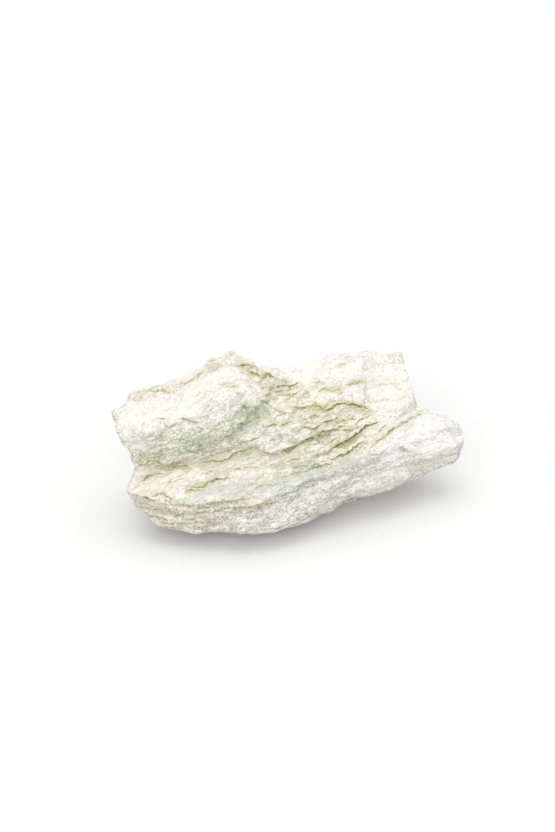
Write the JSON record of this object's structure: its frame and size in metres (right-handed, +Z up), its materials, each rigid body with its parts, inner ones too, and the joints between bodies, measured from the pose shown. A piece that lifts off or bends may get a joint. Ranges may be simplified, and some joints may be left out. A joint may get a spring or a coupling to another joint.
{
  "type": "raw fuchsite",
  "caption": "Rough broken chunk of pale green-white layered mica schist, with stepped ledges, a deep groove under its left block and a flat base to rest on.",
  "frame": {"origin": "middle of the bounding box's bottom face, on the plane the stone rests on", "axes": "+X along the longest extent, towards the thin right-hand lobe; +Y to the back, the way the mica beds rise; +Z up"},
  "size_m": [0.092, 0.051, 0.037],
  "materials": {
    "mica_schist": "pale cream-white with a faint green cast, finely layered and slightly sparkling, ochre to olive stain in the crevices"
  },
  "bodies": {
    "root": {"fuchsite_chunk": "mica_schist"}
  },
  "joints": []
}
